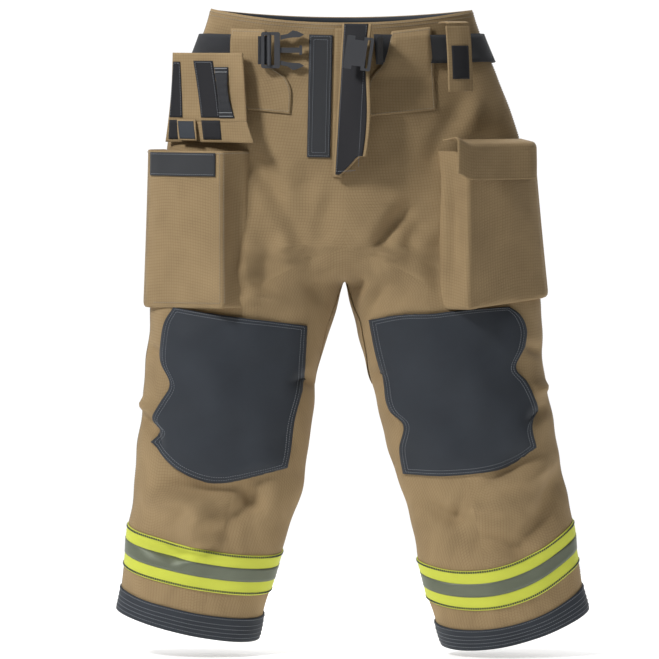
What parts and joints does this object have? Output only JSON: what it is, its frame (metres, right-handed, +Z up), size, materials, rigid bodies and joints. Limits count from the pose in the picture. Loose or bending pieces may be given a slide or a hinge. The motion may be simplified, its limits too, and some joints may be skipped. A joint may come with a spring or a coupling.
{
  "type": "firefighter turnout trousers",
  "caption": "Firefighter's turnout trousers with bellows cargo pockets, folding flaps, storm fly, buckled belt, knee patches and reflective trim.",
  "frame": {"origin": "middle of the waist opening, level with the lowest point of the front waist edge", "axes": "+Z up through the waist, -Y out of the front, +X towards the wearer's left"},
  "size_m": [0.8313, 0.2814, 1.1254],
  "materials": {
    "shell_fabric": "woven ripstop",
    "reinforcing_fabric": "coated woven",
    "loop_tape": "loop pile",
    "hook_tape": "hook tape",
    "elastic": "ribbed",
    "belt_webbing": "ribbed webbing",
    "trim_lime": "fluorescent woven",
    "trim_silver": "retroreflective",
    "moisture_barrier": "film laminate",
    "quilted_lining": "quilted",
    "knee_foam": "closed cell foam",
    "buckle_plastic": "moulded",
    "button_steel": "satin"
  },
  "bodies": {
    "trousers": {"right_front_panel": "shell_fabric", "right_back_panel": "shell_fabric", "left_front_panel": "shell_fabric", "left_back_panel": "shell_fabric", "right_front_leg_panel": "shell_fabric", "right_back_leg_panel": "shell_fabric", "left_front_leg_panel": "shell_fabric", "left_back_leg_panel": "shell_fabric", "right_cargo_pocket": "shell_fabric", "left_cargo_pocket": "shell_fabric", "right_belt_tunnel": "shell_fabric", "left_belt_tunnel": "shell_fabric", "back_belt_loops": "shell_fabric", "fly_shield": "shell_fabric", "keeper_tab_base": "shell_fabric", "storm_flap_head": "shell_fabric", "right_knee_patch": "reinforcing_fabric", "left_knee_patch": "reinforcing_fabric", "right_cuff_binding": "reinforcing_fabric", "left_cuff_binding": "reinforcing_fabric", "right_crotch_gusset": "reinforcing_fabric", "left_crotch_gusset": "reinforcing_fabric", "right_waist_facing": "reinforcing_fabric", "left_waist_facing": "reinforcing_fabric", "back_waist_facing": "reinforcing_fabric", "right_pocket_loop_strip": "loop_tape", "left_pocket_loop_strip": "loop_tape", "fly_loop_strip": "loop_tape", "belt_webbing": "belt_webbing", "right_trim_tape": "trim_lime", "left_trim_tape": "trim_lime", "right_trim_stripe": "trim_silver", "left_trim_stripe": "trim_silver", "right_moisture_barrier": "moisture_barrier", "left_moisture_barrier": "moisture_barrier", "right_thermal_liner": "quilted_lining", "left_thermal_liner": "quilted_lining", "right_knee_pad": "knee_foam", "left_knee_pad": "knee_foam", "suspender_buttons": "button_steel"},
    "right_flap_root": {"right_flap_root": "shell_fabric", "right_flap_root_strips": "hook_tape"},
    "right_flap_face": {"right_flap_face": "shell_fabric", "right_flap_outer_strip": "hook_tape", "right_flap_middle_strip": "hook_tape", "right_flap_elastic_strap": "elastic"},
    "pull_tab": {"flap_pull_tab": "reinforcing_fabric"},
    "left_flap_root": {"left_flap_root": "shell_fabric"},
    "left_flap_face": {"left_flap_face": "shell_fabric", "left_flap_hook_strip": "hook_tape"},
    "storm_flap": {"storm_flap_cloth": "shell_fabric", "storm_flap_hook_strip": "hook_tape"},
    "keeper_tab": {"keeper_tab_cloth": "shell_fabric", "keeper_tab_hook_patch": "hook_tape"},
    "buckle_plug": {"buckle_plug": "buckle_plastic", "plug_webbing_end": "belt_webbing"},
    "upper_prong": {"upper_prong": "buckle_plastic"},
    "lower_prong": {"lower_prong": "buckle_plastic"},
    "buckle_socket": {"buckle_socket": "buckle_plastic", "socket_webbing_end": "belt_webbing"}
  },
  "joints": [
    {"name": "right_flap_root_fold", "type": "hinge", "parent": "trousers", "child": "right_flap_root", "pos_m": [-0.23959, -0.07942, -0.203], "axis": [0.8171, -0.5764, 0], "range_deg": [0, 105]},
    {"name": "right_flap_face_fold", "type": "hinge", "parent": "right_flap_root", "child": "right_flap_face", "pos_m": [-0.23842, -0.07777, -0.16194], "axis": [0.8171, -0.5764, 0], "range_deg": [0, 82]},
    {"name": "pull_tab_fold", "type": "hinge", "parent": "right_flap_root", "child": "pull_tab", "pos_m": [-0.27737, -0.05317, -0.16306], "axis": [0.8171, -0.5764, 0], "range_deg": [0, 12]},
    {"name": "left_flap_root_fold", "type": "hinge", "parent": "trousers", "child": "left_flap_root", "pos_m": [0.23959, -0.07942, -0.203], "axis": [-0.8171, -0.5764, 0], "range_deg": [0, 90]},
    {"name": "left_flap_face_fold", "type": "hinge", "parent": "left_flap_root", "child": "left_flap_face", "pos_m": [0.26299, -0.11259, -0.20871], "axis": [-0.8171, -0.5764, 0], "range_deg": [0, 70]},
    {"name": "storm_flap_fold", "type": "hinge", "parent": "trousers", "child": "storm_flap", "pos_m": [-0.00995, -0.10995, -0.09495], "axis": [-0.0599, -0.0599, -0.9964], "range_deg": [0, 138]},
    {"name": "keeper_tab_lift", "type": "hinge", "parent": "trousers", "child": "keeper_tab", "pos_m": [0.20732, -0.10571, 0.0008], "axis": [-0.8988, -0.4384, 0], "range_deg": [0, 150]},
    {"name": "plug_swing", "type": "hinge", "parent": "trousers", "child": "buckle_plug", "pos_m": [-0.153, -0.104, -0.042], "axis": [0, 0, -1], "range_deg": [0, 75]},
    {"name": "upper_prong_squeeze", "type": "hinge", "parent": "buckle_plug", "child": "upper_prong", "pos_m": [-0.1124, -0.104, -0.02], "axis": [0, 1, 0], "range_deg": [0, 6], "stiffness_Nm_per_rad": 2},
    {"name": "lower_prong_squeeze", "type": "hinge", "parent": "buckle_plug", "child": "lower_prong", "pos_m": [-0.1124, -0.104, -0.064], "axis": [0, -1, 0], "range_deg": [0, 6], "stiffness_Nm_per_rad": 2},
    {"name": "socket_swing", "type": "hinge", "parent": "trousers", "child": "buckle_socket", "pos_m": [0.065, -0.1065, -0.042], "axis": [0, 0, 1], "range_deg": [0, 60]}
  ],
  "couplings": [
    {"joint": "right_flap_face_fold", "follows": "right_flap_root_fold", "ratio": 0.7805},
    {"joint": "pull_tab_fold", "follows": "right_flap_root_fold", "ratio": 0.1142},
    {"joint": "left_flap_face_fold", "follows": "left_flap_root_fold", "ratio": 0.7773},
    {"joint": "lower_prong_squeeze", "follows": "upper_prong_squeeze", "ratio": 1}
  ]
}
